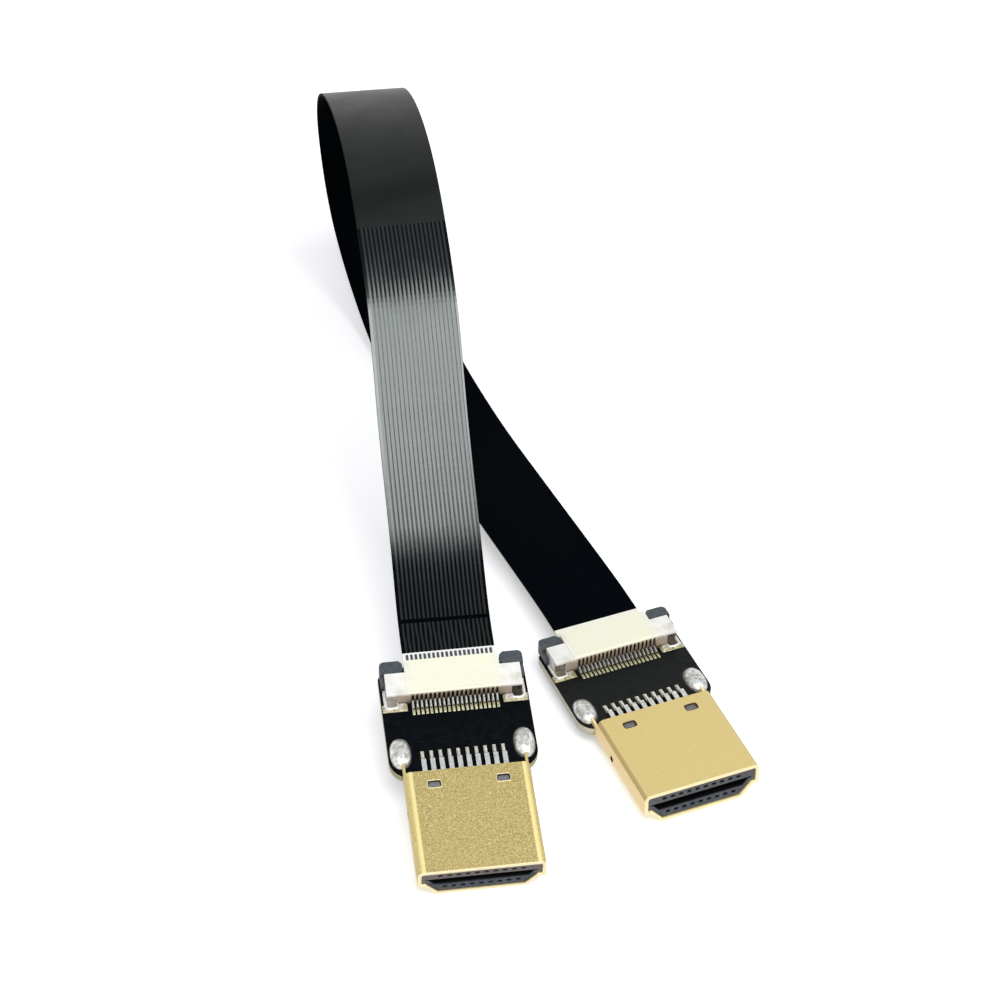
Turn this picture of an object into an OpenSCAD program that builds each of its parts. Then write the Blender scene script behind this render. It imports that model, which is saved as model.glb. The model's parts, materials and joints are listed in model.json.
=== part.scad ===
// Flat flexible video cable: a black ribbon with a bare plug on a small circuit board at each end.
// A plug's own frame has X across, Y from its mating face towards the ribbon and Z up from its underside.
// Plug B lies flat on the table, and its frame is the part's frame.
// Plug A rests on its front edge, tilted by the ribbon.

/* [Plug shell] */
// Width of the shell
shell_w = 13.9; // [12.5:0.1:15.5]
// Height of the shell
shell_h = 4.45; // [4.2:0.05:5]
// Length of the shell
shell_len = 12.95; // [11.5:0.05:14]
// Thickness of the shell's sheet
shell_t = 0.3; // [0.2:0.05:0.4]
// Outer bend radius along the two upper edges
shell_r = 0.7; // [0.5:0.05:0.9]
// Height of the upright sides
shell_side_h = 2.8; // [2.6:0.05:3]
// Width of the step below each upright side
shell_ledge = 0.75; // [0.5:0.05:0.9]
// Width of the flat underside
shell_floor_w = 9.7; // [9:0.1:10.5]
// Length of the lip rolled inwards at the mating end
lip_len = 0.5; // [0.4:0.05:0.8]
// How far the lip is rolled inwards
lip_in = 0.1; // [0.05:0.01:0.2]
// Width of the shell's windows
window_w = 1.5; // [1:0.05:2]
// Length of the shell's windows
window_len = 0.95; // [0.6:0.05:1.3]
// Radius of the windows' corners
window_r = 0.25; // [0.1:0.05:0.4]
// Distance between the windows' centres
window_spacing = 7.6; // [6:0.1:9]
// Distance from the windows' centres to the shell's back edge
window_back = 1.8; // [1.2:0.1:2.5]
// Diameter of the hole in each side of the shell
side_hole_d = 0.7; // [0.4:0.05:1]
// Distance from the side holes to the mating face
side_hole_y = 8.95; // [6:0.05:10]
// Length of the soldering legs behind the shell
leg_len = 4.4; // [3.8:0.1:5]
// How far the legs stand above the board
leg_rise = 0.55; // [0.3:0.05:0.7]

/* [Insulator] */
// Clearance between pieces that are pushed together
fit_gap = 0.04; // [0.02:0.01:0.06]
// Depth of the insulator's face behind the shell's edge
face_recess = 0.2; // [0.1:0.05:0.45]
// Thickness of plastic on each side of the mating slot
slot_wall = 0.5; // [0.4:0.05:0.8]
// Height of the mating slot
slot_h = 1.15; // [1:0.05:1.3]
// Depth of the mating slot
slot_depth = 8.5; // [7.5:0.1:9.5]
// Width of each contact's hole
hole_w = 0.5; // [0.46:0.01:0.6]
// Height of each contact's hole
hole_h = 0.42; // [0.36:0.01:0.5]
// Length of plastic left in front of the contacts' grooves
nose_len = 1; // [0.6:0.1:1.5]

/* [Plug contacts] */
// Distance between neighbouring contacts
contact_pitch = 1; // [0.9:0.01:1.1]
// Number of contacts in the upper row
upper_count = 10; // [6:1:11]
// Number of contacts in the lower row
lower_count = 9; // [5:1:10]
// Distance between the two rows
row_spacing = 2.15; // [2:0.05:2.3]
// Height of the middle between the rows above the shell's underside
row_mid = 2.175; // [2.1:0.025:2.3]
// Width of a contact inside the insulator
contact_w = 0.4; // [0.3:0.01:0.42]
// Thickness of a contact
contact_t = 0.2; // [0.12:0.01:0.25]
// How far a contact's bow stands into the mating slot
bow_depth = 0.2; // [0.1:0.05:0.3]
// Length of the flat top of a contact's bow
bow_len = 0.6; // [0.4:0.1:1]
// Width of a tail's root behind the shell
tail_w = 0.55; // [0.4:0.05:0.65]
// Width of a tail's tip
tip_w = 0.3; // [0.2:0.05:0.4]
// Length of a tail's root inside the shell
tail_root = 0.2; // [0.1:0.05:0.4]
// Length of a tail's wide root behind the shell
tail_len = 2.3; // [1.9:0.1:2.6]
// Length over which a tail steps down to its pad
tail_step = 0.35; // [0.25:0.05:0.5]
// Length of the flat tip on its pad
tip_len = 0.85; // [0.7:0.05:1.2]

/* [Circuit board] */
// Width of the board
board_w = 16.6; // [16.5:0.1:19]
// Length of the board
board_len = 13.9; // [13.7:0.1:16]
// Thickness of the board
board_t = 1; // [0.8:0.1:1.2]
// Gap between the shell's back edge and the board
board_gap = 0.4; // [0.2:0.05:0.6]
// Radius of the board's front corners
board_front_r = 2.4; // [1:0.1:3]
// Radius of the board's back corners
board_back_r = 0.6; // [0.3:0.1:1]
// Thickness of the tinned pads
pad_t = 0.05; // [0.03:0.01:0.08]
// Margin of a pad on each side of the contact on it
pad_side = 0.05; // [0.03:0.01:0.1]
// Margin of a pad past the end of what is soldered to it
pad_end = 0.2; // [0.1:0.05:0.3]
// Distance from the solder over a leg to the board's side
solder_edge = 0.2; // [0.15:0.05:0.4]
// How far that solder reaches inwards from the leg
solder_in = 1.1; // [0.9:0.1:1.4]
// Length of the solder's straight middle
solder_run = 1.6; // [1:0.1:2]
// Height of the solder over each leg
solder_h = 0.9; // [0.75:0.05:1]
// Distance from the solder's front end to the board's front edge
solder_inset = 1.2; // [0.8:0.1:1.6]

/* [Ribbon socket] */
// Distance from the socket's end blocks to the board's back edge
socket_back = 1.1; // [0.9:0.1:1.4]
// Height of the socket
socket_h = 2; // [1.9:0.05:2.3]
// Depth of the socket at its two end blocks
socket_depth = 3; // [2.8:0.1:3.4]
// Depth of the socket at its mouth
mouth_depth = 4.5; // [4.3:0.1:4.9]
// Thickness of the socket's floor
floor_t = 0.4; // [0.3:0.05:0.5]
// Thickness of the socket's roof
roof_t = 0.5; // [0.4:0.05:0.55]
// How far the end blocks and the front wall lie below the roof
block_drop = 0.15; // [0.1:0.01:0.2]
// Distance from the socket's front to its raised roof
roof_inset = 0.35; // [0.2:0.05:0.5]
// Thickness of the socket's front wall
front_t = 0.6; // [0.4:0.05:0.8]
// Room on each side of the ribbon in the socket
mouth_room = 0.2; // [0.15:0.01:0.25]
// Distance between neighbouring socket contacts
socket_pitch = 0.5; // [0.48:0.005:0.52]
// Number of socket contacts and conductors
way_count = 20; // [10:1:20]
// Width of a socket contact
way_w = 0.2; // [0.15:0.01:0.22]
// Thickness of a socket contact
way_t = 0.2; // [0.15:0.01:0.22]
// Width of the slots in the socket's front wall
way_slot_w = 0.3; // [0.28:0.01:0.34]
// Height above the board at which the socket contacts leave the front wall
way_exit = 0.5; // [0.4:0.05:0.6]
// Length of a socket contact's slope in front of the wall
way_slope = 0.5; // [0.3:0.05:0.7]
// Length of a socket contact's flat foot
foot_len = 0.4; // [0.3:0.05:0.6]
// Length of pad left bare in front of that foot
way_pad = 0.7; // [0.4:0.05:0.9]
// Distance from the end of a socket contact to the socket's mouth
beam_inset = 1; // [0.6:0.1:1.5]
// Distance from a hold-down's foot to the board's side
hold_edge = 0.3; // [0.2:0.05:0.5]
// Width of a hold-down's foot
hold_w = 2.4; // [2:0.1:2.6]
// Length of a hold-down's foot
hold_len = 0.8; // [0.6:0.05:1]
// Thickness of a hold-down's sheet
hold_t = 0.2; // [0.15:0.01:0.25]
// Width of the corner recess that a hold-down stands in
recess_w = 1.25; // [1:0.05:1.5]
// Depth of that recess
recess_depth = 0.6; // [0.4:0.05:0.8]
// Height of that recess
recess_h = 1.6; // [1.2:0.05:1.7]

/* [Sliding lock] */
// Distance from the lock's sides to the board's sides
lock_edge = 0.2; // [0.1:0.05:0.4]
// Thickness of an arm along the socket's side
arm_t = 0.35; // [0.25:0.05:0.45]
// Depth of an ear
ear_depth = 1.65; // [1.5:0.05:1.8]
// Height of an ear
ear_h = 1.5; // [1.4:0.05:1.7]
// Height of the lock above the board
ear_lift = 0.2; // [0.15:0.05:0.3]
// Radius of an ear's outer back corner
ear_r = 0.6; // [0.3:0.05:0.8]
// Bevel at the corners of an ear's inner end
ear_bevel = 0.4; // [0.2:0.05:0.6]
// Length of an arm along the socket's side
arm_len = 1.1; // [0.8:0.1:1.6]
// Height of an arm
arm_h = 0.9; // [0.6:0.05:1.1]
// Thickness of the tongue that slides in beside the ribbon
tongue_t = 0.3; // [0.25:0.01:0.32]
// Running clearance around the sliding lock
slide_gap = 0.1; // [0.05:0.01:0.12]

/* [Ribbon] */
// Width of the ribbon
ribbon_w = 10.5; // [10.3:0.1:10.6]
// Thickness of the jacket
jacket_t = 0.35; // [0.3:0.01:0.4]
// Thickness of the bare end with its stiffener
bare_t = 0.3; // [0.26:0.01:0.31]
// Length of bare end between the socket's mouth and the jacket
bare_gap = 1.6; // [1.4:0.1:2]
// Length of bare end inside the socket's mouth
bare_in = 3.2; // [2.8:0.1:3.4]
// Width of a conductor
conductor_w = 0.3; // [0.2:0.01:0.34]
// Thickness of a bare conductor
conductor_t = 0.03; // [0.02:0.005:0.04]

/* [Lie of plug A] */
// Place of plug A's front edge to the left of plug B
plug_a_x = -27.05; // [-30:0.05:-25]
// Place of plug A's front edge along plug B's axis
plug_a_y = -1.9; // [-4:0.1:0]
// Turn of plug A about the vertical
plug_a_turn = -14.3; // [-18:0.1:-10]
// Tilt of plug A, back end raised
plug_a_tilt = 11.6; // [8:0.1:15]

/* [Hidden] */
$fn = 48;
// Overshoot of a cut past the face it opens
cut = 1;
// Smallest inner bend radius of the shell's sheet
least_r = 0.1;

upper_row_z = row_mid + row_spacing / 2;
carrier_back = shell_len - 2 * tail_root;
board_front = shell_len + board_gap;
board_back = board_front + board_len;
board_top = row_mid + board_t / 2;
board_bottom = row_mid - board_t / 2;
leg_x = (shell_w - shell_t) / 2;
leg_back = shell_len + leg_len;
leg_bottom = shell_h - shell_side_h;
leg_top = board_top + leg_rise;
solder_w = board_w / 2 - solder_edge - leg_x + solder_in;
solder_x = board_w / 2 - solder_edge - solder_w / 2;
tail_y = shell_len + tail_len;
tail_bend_y = tail_y + tail_step;
tail_end_y = tail_bend_y + tip_len;

lock_w = board_w - 2 * lock_edge;
socket_w = lock_w - 2 * (arm_t + slide_gap);
socket_front = board_back - socket_back - socket_depth;
block_back = socket_front + socket_depth;
mouth_back = socket_front + mouth_depth;
cavity_w = ribbon_w + 2 * mouth_room;
cavity_h = socket_h - floor_t - roof_t;
mouth_w = cavity_w - 2 * slide_gap;
ribbon_z = board_top + floor_t + cavity_h / 2;
bare_front = mouth_back - bare_in;
jacket_y = mouth_back + bare_gap;
hold_out = board_w / 2 - hold_edge;
hold_in = hold_out - hold_w;
ear_front = block_back + slide_gap;
ear_back = ear_front + ear_depth;
ear_in = cavity_w / 2 + slide_gap / 2;
arm_x = socket_w / 2 + slide_gap;
arm_front = ear_front - arm_len;

// Route of the ribbon between its straight ends: up from plug A, over the loop, back along the table
ROUTE = [
    [-16, 39.75, 14], [-14, 48.75, 23.5], [-11.5, 57.25, 31.5], [-9.5, 66.25, 37.5],
    [-7, 76.75, 40.5], [-4.5, 88.75, 40.5], [-2.4, 99.75, 36.5], [-0.4, 107.75, 29],
    [1, 111.25, 20], [1, 108.25, 11], [1, 100.75, 4], [0.6, 90.75, 0.2],
    [0.2, 80.25, 0.2], [0, 69.75, 0.5], [-0.3, 59.25, 2], [-0.6, 48.25, 3.5]
];
// Straight length of ribbon behind each jacket end
lead_len = 5;
// Rings for each stretch between two points of the route
rings = 4;
// Share of the route where the ribbon starts and ends its turn from plug A's heading to plug B's
turn_from = 0.45;
turn_to = 0.66;
// Bevel along the ribbon's edges
edge_bevel = 0.1;

// Colours of the pieces
gold = [0.83, 0.70, 0.38];
slate = [0.22, 0.24, 0.27];
tin = [0.80, 0.80, 0.78];
ivory = [0.95, 0.92, 0.82];
mask_black = [0.06, 0.06, 0.07];
jacket_black = [0.04, 0.04, 0.05];
film_white = [0.96, 0.96, 0.95];

// Places of a row of equal steps, centred on zero
function row_places(count, pitch) = [for (i = [0 : count - 1]) (i - (count - 1) / 2) * pitch];

// Solid between two places along Y, from an outline drawn across (X) and up (Z)
module along_y(from, to) {
    translate([0, to, 0]) rotate([90, 0, 0]) linear_extrude(to - from) children();
}

// Solid centred across X, from a side view drawn along (Y) and up (Z)
module along_x(width) {
    rotate([90, 0, 90]) translate([0, 0, -width / 2]) linear_extrude(width) children();
}

// Box from its lowest to its highest corner
module box(low, high) {
    translate(low) cube(high - low);
}

// Rectangle with rounded corners, centred
module rounded(width, length, r) {
    square([width - 2 * r, length], center = true);
    square([width, length - 2 * r], center = true);
    for (x = [-1, 1], y = [-1, 1]) translate([x * (width / 2 - r), y * (length / 2 - r)]) circle(r);
}

// Both sides of a plug, from the side at positive X
module both_sides() {
    children();
    mirror([1, 0, 0]) children();
}

// Lower row and underside of the board, from what lies above the middle between the rows
module underside() {
    translate([0, 0, 2 * row_mid]) mirror([0, 0, 1]) children();
}

// Section of the plug, drawn inwards from the shell's outside by the inset
module plug_section(inset) {
    half_w = shell_w / 2 - inset;
    top = shell_h - inset;
    r = max(shell_r - inset, least_r);
    step_z = shell_h - shell_side_h + inset;
    run = shell_w / 2 - shell_ledge - shell_floor_w / 2;
    slope = atan2(run, shell_h - shell_side_h);
    slope_inset = inset * (1 / cos(slope) - tan(slope));
    step_x = shell_w / 2 - shell_ledge - slope_inset;
    floor_x = shell_floor_w / 2 - slope_inset;
    translate([-half_w, step_z]) square([2 * half_w, top - r - step_z]);
    translate([-half_w + r, top - 2 * r]) square([2 * (half_w - r), 2 * r]);
    for (side = [-1, 1]) translate([side * (half_w - r), top - r]) circle(r);
    polygon([[-floor_x, inset], [floor_x, inset], [step_x, step_z], [step_x, step_z + r],
             [-step_x, step_z + r], [-step_x, step_z]]);
}

// One soldering leg between two heights, with a margin round it
module leg(low, high, margin) {
    half_t = shell_t / 2 + margin;
    box([leg_x - half_t, shell_len - cut, low], [leg_x + half_t, leg_back + margin, high]);
}

module shell() color(gold) {
    window_y = shell_len - window_back;
    difference() {
        union() {
            along_y(0, shell_len) plug_section(0);
            both_sides() leg(leg_bottom, leg_top, 0);
        }
        along_y(lip_len, shell_len + cut) plug_section(shell_t);
        along_y(-cut, lip_len + cut) plug_section(shell_t + lip_in);
        for (side = [-1, 1])
            translate([side * window_spacing / 2, window_y, -cut])
                linear_extrude(shell_h + 2 * cut) rounded(window_w, window_len, window_r);
        translate([0, side_hole_y, row_mid]) rotate([0, 90, 0])
            cylinder(h = shell_w + 2 * cut, d = side_hole_d, center = true);
    }
}

// Hole and groove for one contact of the upper row
module contact_hole() {
    box([-hole_w / 2, -cut, upper_row_z - hole_h / 2], [hole_w / 2, shell_len, upper_row_z + hole_h / 2]);
    box([-hole_w / 2, face_recess + nose_len, row_mid], [hole_w / 2, slot_depth, upper_row_z]);
}

module contact_holes() {
    for (x = row_places(upper_count, contact_pitch)) translate([x, 0, 0]) contact_hole();
    underside() for (x = row_places(lower_count, contact_pitch)) translate([x, 0, 0]) contact_hole();
}

// Housing round the mating slot
module insulator() color(slate) difference() {
    union() {
        along_y(face_recess, slot_depth) plug_section(shell_t + lip_in + fit_gap);
        along_y(lip_len + fit_gap, slot_depth) plug_section(shell_t + fit_gap);
    }
    along_y(-cut, slot_depth + cut) intersection() {
        plug_section(shell_t + fit_gap + slot_wall);
        translate([0, row_mid]) square([shell_w, slot_h], center = true);
    }
    contact_holes();
}

// Block behind the housing that closes the slot and carries both rows of contacts
module contact_carrier() color(slate) difference() {
    along_y(slot_depth, carrier_back) plug_section(shell_t + fit_gap);
    contact_holes();
}

// Side view of a strip of sheet along a path of [y, z] points
module strip(path) {
    half = [0, contact_t / 2];
    last = len(path) - 1;
    polygon(concat([for (p = path) p + half], [for (i = [last : -1 : 0]) path[i] - half]));
}

// One contact of the upper row: spring bow in the slot, straight shank, wide tail stepped down to a flat tip
module contact() {
    nose_y = face_recess + nose_len / 2;
    groove_y = face_recess + nose_len;
    bow_y = (groove_y + slot_depth - bow_len) / 2;
    bow_z = row_mid + slot_h / 2 - bow_depth + contact_t / 2;
    shank_y = slot_depth - bow_len;
    tip_z = board_top + pad_t + contact_t / 2;
    along_x(contact_w) strip([
        [nose_y, upper_row_z], [groove_y, upper_row_z], [bow_y - bow_len / 2, bow_z],
        [bow_y + bow_len / 2, bow_z], [shank_y, upper_row_z], [shell_len, upper_row_z]]);
    along_x(tail_w) strip([[shell_len - tail_root, upper_row_z], [tail_y, upper_row_z]]);
    along_x(tip_w) strip([
        [shell_len, upper_row_z], [tail_y, upper_row_z], [tail_bend_y, tip_z], [tail_end_y, tip_z]]);
}

module upper_contacts() color(tin)
    for (x = row_places(upper_count, contact_pitch)) translate([x, 0, 0]) contact();

module lower_contacts() color(tin)
    underside() for (x = row_places(lower_count, contact_pitch)) translate([x, 0, 0]) contact();

// Outline of the board: large front corners, small back ones
module board_outline() {
    translate([-board_w / 2, board_front + board_front_r])
        square([board_w, board_len - board_front_r - board_back_r]);
    translate([-board_w / 2 + board_front_r, board_front])
        square([board_w - 2 * board_front_r, 2 * board_front_r]);
    translate([-board_w / 2 + board_back_r, board_back - 2 * board_back_r])
        square([board_w - 2 * board_back_r, 2 * board_back_r]);
    for (side = [-1, 1]) {
        translate([side * (board_w / 2 - board_front_r), board_front + board_front_r])
            circle(board_front_r);
        translate([side * (board_w / 2 - board_back_r), board_back - board_back_r])
            circle(board_back_r);
    }
}

module circuit_board() color(mask_black) difference() {
    translate([0, 0, board_bottom]) linear_extrude(board_t) board_outline();
    both_sides() leg(board_bottom - cut, board_top + cut, fit_gap);
}

// Row of pads on the upper face
module pad_row(places, width, from, to) {
    for (x = places) box([x - width / 2, from, board_top], [x + width / 2, to, board_top + pad_t]);
}

// Pads for a row of plug contacts
module tail_pads(count) {
    pad_row(row_places(count, contact_pitch), tip_w + 2 * pad_side,
            tail_bend_y - pad_end, tail_end_y + pad_end);
}

module solder_pads() color(tin) {
    tail_pads(upper_count);
    underside() tail_pads(lower_count);
    pad_row(row_places(way_count, socket_pitch), way_w + 2 * pad_side,
            socket_front - way_slope - foot_len - way_pad, socket_front);
    both_sides() pad_row([hold_out - hold_w / 2], hold_w + 2 * pad_end,
                         socket_front - hold_len - pad_end, socket_front);
}

// Dome of solder over one leg, on the upper face
module solder_dome() {
    half_w = solder_w / 2;
    r = (half_w * half_w + solder_h * solder_h) / (2 * solder_h);
    front_y = board_front + solder_inset + half_w;
    back_y = front_y + solder_run;
    difference() {
        translate([solder_x, 0, board_top + solder_h - r]) {
            translate([0, front_y, 0]) sphere(r);
            along_y(front_y, back_y) circle(r);
            translate([0, back_y, 0]) sphere(r);
        }
        box([0, board_front - r, board_top - 2 * r], [board_w, board_back, board_top]);
        leg(board_top - cut, leg_top, 0);
    }
}

module leg_solder() color(tin) both_sides() solder_dome();

module ribbon_socket() color(ivory) {
    floor_z = board_top + floor_t;
    roof_z = board_top + socket_h;
    difference() {
        union() {
            box([-socket_w / 2, socket_front, board_top], [socket_w / 2, block_back, roof_z - block_drop]);
            box([-mouth_w / 2, socket_front + roof_inset, roof_z - roof_t], [mouth_w / 2, mouth_back, roof_z]);
        }
        box([-cavity_w / 2, socket_front + front_t, floor_z],
            [cavity_w / 2, block_back + cut, floor_z + cavity_h]);
        for (x = row_places(way_count, socket_pitch))
            box([x - way_slot_w / 2, socket_front - cut, board_top + floor_t / 2],
                [x + way_slot_w / 2, socket_front + front_t + cut, floor_z + cavity_h]);
        both_sides()
            box([socket_w / 2 - recess_w, socket_front - cut, board_top - cut],
                [socket_w / 2 + cut, socket_front + recess_depth, board_top + recess_h]);
    }
}

// One contact of the socket: foot on its pad, slope up to the wall, riser behind it and beam beside the ribbon.
// The face is 1 where the conductors face up and -1 where they face down.
module socket_contact(face) {
    foot_z = board_top + pad_t;
    exit_z = board_top + way_exit;
    beam_z = ribbon_z + face * (bare_t / 2 + conductor_t + fit_gap + way_t / 2);
    slope_y = socket_front - way_slope;
    riser_y = socket_front + front_t - way_t;
    along_x(way_w) {
        translate([slope_y - foot_len, foot_z]) square([foot_len, way_t]);
        polygon([[slope_y - way_t, foot_z], [slope_y, foot_z], [socket_front, exit_z - way_t],
                 [socket_front, exit_z], [slope_y - way_t, foot_z + way_t]]);
        translate([socket_front, exit_z - way_t]) square([front_t, way_t]);
        translate([riser_y, exit_z - way_t]) square([way_t, beam_z + way_t / 2 - exit_z + way_t]);
        translate([riser_y, beam_z - way_t / 2]) square([mouth_back - beam_inset - riser_y, way_t]);
    }
}

module socket_contacts(face) color(tin)
    for (x = row_places(way_count, socket_pitch)) translate([x, 0, 0]) socket_contact(face);

// Hold-downs: a foot before each end block, a plate up in its recess and a strip along its side
module hold_downs() color(tin) both_sides() {
    foot_z = board_top + pad_t;
    plate_in = socket_w / 2 - recess_w + fit_gap;
    plate_back = socket_front + recess_depth - fit_gap;
    box([hold_in, socket_front - hold_len, foot_z], [hold_out, socket_front - fit_gap, foot_z + hold_t]);
    box([plate_in, socket_front - hold_len, foot_z], [hold_out, plate_back, foot_z + hold_t]);
    box([plate_in, plate_back - hold_t, foot_z], [socket_w / 2, plate_back, board_top + recess_h - fit_gap]);
    box([socket_w / 2 + fit_gap, socket_front - hold_len, foot_z],
        [hold_out, arm_front - slide_gap, foot_z + hold_t]);
}

// Outline of an ear: bevelled inner end, rounded outer back corner
module ear_outline() {
    polygon([[ear_in, ear_front + ear_bevel], [ear_in + ear_bevel, ear_front], [lock_w / 2, ear_front],
             [lock_w / 2, ear_back - ear_r], [lock_w / 2 - ear_r, ear_back], [ear_in + ear_bevel, ear_back],
             [ear_in, ear_back - ear_bevel]]);
    translate([lock_w / 2 - ear_r, ear_back - ear_r]) circle(ear_r);
}

// Sliding lock: two ears, an arm along each side of the socket, and a tongue on the ribbon's stiffened side
module sliding_lock(face) color(slate) {
    low = board_top + ear_lift;
    high = low + ear_h;
    tongue_z = ribbon_z - face * (bare_t / 2 + fit_gap + tongue_t / 2);
    tongue_half = cavity_w / 2 - slide_gap;
    both_sides() {
        translate([0, 0, low]) linear_extrude(ear_h) ear_outline();
        box([arm_x, arm_front, low], [lock_w / 2, ear_front + ear_depth / 2, low + arm_h]);
    }
    box([-tongue_half, bare_front, tongue_z - tongue_t / 2],
        [tongue_half, mouth_back - fit_gap, tongue_z + tongue_t / 2]);
    box([-ear_in - slide_gap, ear_front, tongue_z - tongue_t / 2],
        [ear_in + slide_gap, mouth_back - fit_gap, tongue_z + tongue_t / 2]);
}

module ribbon_end() color(film_white)
    box([-ribbon_w / 2, bare_front, ribbon_z - bare_t / 2],
        [ribbon_w / 2, jacket_y, ribbon_z + bare_t / 2]);

module conductors(face) color(tin) {
    z = ribbon_z + face * (bare_t + conductor_t) / 2;
    for (x = row_places(way_count, socket_pitch))
        box([x - conductor_w / 2, bare_front, z - conductor_t / 2],
            [x + conductor_w / 2, jacket_y, z + conductor_t / 2]);
}

// Directions of plug A in the part's frame, and the part's place of a point of plug A
a_across = [cos(plug_a_turn), sin(plug_a_turn), 0];
a_along = [-sin(plug_a_turn) * cos(plug_a_tilt), cos(plug_a_turn) * cos(plug_a_tilt), sin(plug_a_tilt)];
a_up = cross(a_across, a_along);
function on_plug_a(y, z) = [plug_a_x, plug_a_y, 0] + y * a_along + z * a_up;

// Cubic spline that the route's points steer, between the two jacket ends
steer = concat(
    [on_plug_a(jacket_y, ribbon_z), on_plug_a(jacket_y + lead_len, ribbon_z)],
    ROUTE,
    [[0, jacket_y + lead_len, ribbon_z], [0, jacket_y, ribbon_z]]);
stretches = len(steer) - 1;
knots = concat([2 * steer[0] - steer[1]], steer, [2 * steer[stretches] - steer[stretches - 1]]);
function weights(u) =
    let(v = 1 - u)
    [v * v * v, (3 * u - 6) * u * u + 4, ((3 - 3 * u) * u + 3) * u + 1, u * u * u] / 6;
function slopes(u) =
    let(v = 1 - u)
    [-v * v, (3 * u - 4) * u, (2 - 3 * u) * u + 1, u * u] / 2;
function mix_knots(i, w) =
    w[0] * knots[i] + w[1] * knots[i + 1] + w[2] * knots[i + 2] + w[3] * knots[i + 3];
function unit(v) = v / norm(v);
function ease(k) = k * k * (3 - 2 * k);

// Section of the jacket, across the ribbon and through its thickness
half_w = ribbon_w / 2;
half_t = jacket_t / 2;
flat_w = half_w - edge_bevel;
flat_t = half_t - edge_bevel;
jacket_section = [
    [-half_w, -flat_t], [-half_w, flat_t], [-flat_w, half_t], [flat_w, half_t],
    [half_w, flat_t], [half_w, -flat_t], [flat_w, -half_t], [-flat_w, -half_t]
];

// One ring of the jacket: the section's corners at one place of the route
function ring(i, u) =
    let(centre = mix_knots(i, weights(u)),
        ahead = unit(mix_knots(i, slopes(u))),
        share = ease(min(max(((i + u) / stretches - turn_from) / (turn_to - turn_from), 0), 1)),
        heading = (1 - share) * a_across + share * [1, 0, 0],
        across = unit(heading - (heading * ahead) * ahead),
        out = cross(across, ahead))
    [for (p = jacket_section) centre + p[0] * across + p[1] * out];

module ribbon_jacket() color(jacket_black) {
    sides = len(jacket_section);
    ring_list = concat([for (i = [0 : stretches - 1]) for (j = [0 : rings - 1]) ring(i, j / rings)],
                       [ring(stretches - 1, 1)]);
    last = len(ring_list) - 1;
    points = [for (r = ring_list) each r];
    walls = [for (i = [0 : last - 1]) for (j = [0 : sides - 1])
        let(k = (j + 1) % sides, near = i * sides, far = near + sides)
        each [[near + j, near + k, far + k], [near + j, far + k, far + j]]];
    front = [for (j = [sides - 1 : -1 : 0]) j];
    back = [for (j = [0 : sides - 1]) last * sides + j];
    polyhedron(points, concat(walls, [front, back]), convexity = 6);
}

// Place of plug A: turned, and tilted about its front edge on the table
module at_a() {
    translate([plug_a_x, plug_a_y, 0]) rotate([plug_a_tilt, 0, plug_a_turn]) children();
}

at_a() shell();  // shell_a
at_a() insulator();  // insulator_a
at_a() contact_carrier();  // contact_carrier_a
at_a() upper_contacts();  // upper_contacts_a
at_a() lower_contacts();  // lower_contacts_a
at_a() circuit_board();  // circuit_board_a
at_a() solder_pads();  // solder_pads_a
at_a() leg_solder();  // leg_solder_a
at_a() ribbon_socket();  // ribbon_socket_a
at_a() socket_contacts(1);  // socket_contacts_a
at_a() hold_downs();  // hold_downs_a
at_a() sliding_lock(1);  // sliding_lock_a
shell();  // shell_b
insulator();  // insulator_b
contact_carrier();  // contact_carrier_b
upper_contacts();  // upper_contacts_b
lower_contacts();  // lower_contacts_b
circuit_board();  // circuit_board_b
solder_pads();  // solder_pads_b
leg_solder();  // leg_solder_b
ribbon_socket();  // ribbon_socket_b
socket_contacts(-1);  // socket_contacts_b
hold_downs();  // hold_downs_b
sliding_lock(-1);  // sliding_lock_b
ribbon_jacket();
at_a() ribbon_end();  // ribbon_end_a
ribbon_end();  // ribbon_end_b
at_a() conductors(1);  // conductors_a
conductors(-1);  // conductors_b
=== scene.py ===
"""Looks of a flat flexible video cable: a black ribbon between two bare plugs on small circuit boards.

Lengths are in millimetres and colours are linear. A plug's own frame has X across, Y from its mating face
towards the ribbon and Z up from its underside. Plug B's frame is the part's frame. The scene is in metres.
"""

import json
import math

import bmesh
import bpy
from mathutils import Matrix, Quaternion, Vector, noise

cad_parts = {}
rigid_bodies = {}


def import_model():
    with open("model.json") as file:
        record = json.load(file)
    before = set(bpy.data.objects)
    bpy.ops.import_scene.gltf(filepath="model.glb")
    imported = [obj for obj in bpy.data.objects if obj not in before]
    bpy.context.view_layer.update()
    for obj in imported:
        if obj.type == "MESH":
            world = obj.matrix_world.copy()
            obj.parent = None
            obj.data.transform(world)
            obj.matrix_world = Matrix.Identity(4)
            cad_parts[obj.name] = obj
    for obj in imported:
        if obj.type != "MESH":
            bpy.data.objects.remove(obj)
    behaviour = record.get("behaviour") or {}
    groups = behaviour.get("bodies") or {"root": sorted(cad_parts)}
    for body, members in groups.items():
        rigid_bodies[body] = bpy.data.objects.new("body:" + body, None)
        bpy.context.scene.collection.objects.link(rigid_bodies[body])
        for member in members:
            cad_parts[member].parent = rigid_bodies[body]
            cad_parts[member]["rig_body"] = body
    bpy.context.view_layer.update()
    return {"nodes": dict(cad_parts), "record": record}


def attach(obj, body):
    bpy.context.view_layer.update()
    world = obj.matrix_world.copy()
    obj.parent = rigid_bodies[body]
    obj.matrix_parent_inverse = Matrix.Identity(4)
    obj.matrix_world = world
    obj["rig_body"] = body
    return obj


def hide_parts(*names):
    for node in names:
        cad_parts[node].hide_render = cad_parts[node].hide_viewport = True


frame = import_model()

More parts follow.
